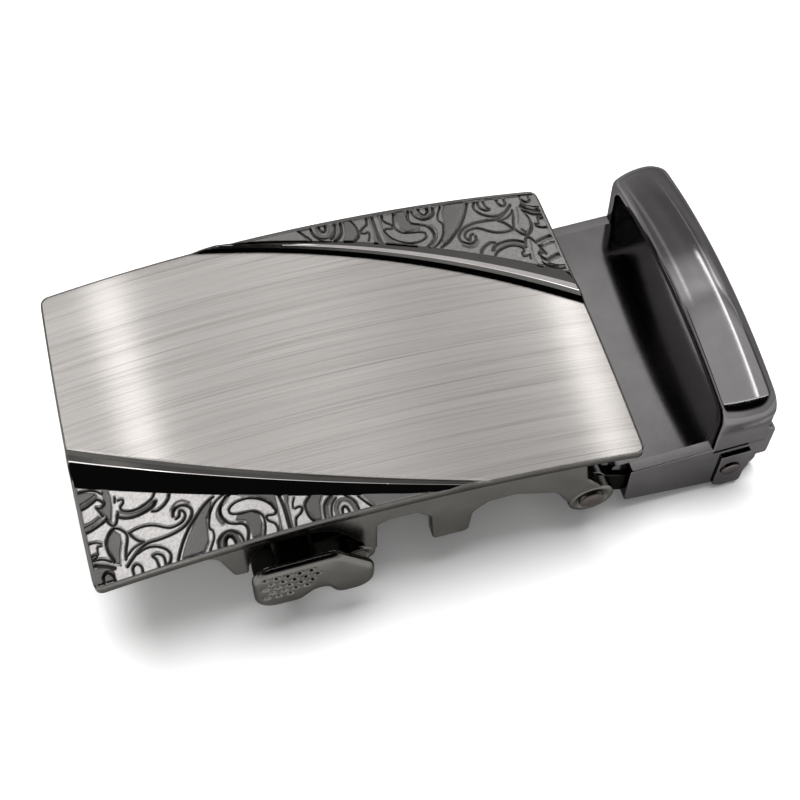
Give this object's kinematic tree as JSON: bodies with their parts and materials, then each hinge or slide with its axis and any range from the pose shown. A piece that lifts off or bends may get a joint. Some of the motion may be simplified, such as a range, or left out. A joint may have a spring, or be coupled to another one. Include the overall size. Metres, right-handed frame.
{
  "type": "ratchet belt buckle",
  "caption": "Automatic ratchet belt buckle: arched brushed cover with cast scrollwork corners, sprung release lever, and a hinged keeper with loop and clamping jaw",
  "frame": {"origin": "middle of the bounding box on the surface that the buckle lies on", "axes": "+X along the belt towards the keeper, +Y away from the release lever's tab, +Z out of the cover's face"},
  "size_m": [0.0838, 0.0428, 0.0226],
  "materials": {
    "cover": "die-cast zinc alloy, brushed silver panel between gunmetal ridges and relief",
    "lever": "satin gunmetal plating",
    "keeper": "polished gunmetal plating",
    "pins": "plain steel"
  },
  "bodies": {
    "cover": {"cover": "cover", "lever_pin": "pins", "hinge_rivet_front": "pins", "hinge_rivet_back": "pins"},
    "lever": {"release_lever": "lever"},
    "keeper": {"keeper": "keeper", "jaw_pin": "pins"},
    "jaw": {"strap_jaw": "keeper"}
  },
  "joints": [
    {"name": "lever_hinge", "type": "hinge", "parent": "cover", "child": "lever", "pos_m": [-0.01179, 0.00135, 0.00937], "axis": [0, -1, 0], "range_deg": [0, 14], "stiffness_Nm_per_rad": 0.01, "springref_deg": -9.74},
    {"name": "keeper_hinge", "type": "hinge", "parent": "cover", "child": "keeper", "pos_m": [0.01741, 0.00135, 0.00837], "axis": [0, 1, 0], "range_deg": [0, 60]},
    {"name": "jaw_hinge", "type": "hinge", "parent": "keeper", "child": "jaw", "pos_m": [0.0367, 0.00135, 0.00502], "axis": [0, 1, 0], "range_deg": [0, 75]}
  ]
}
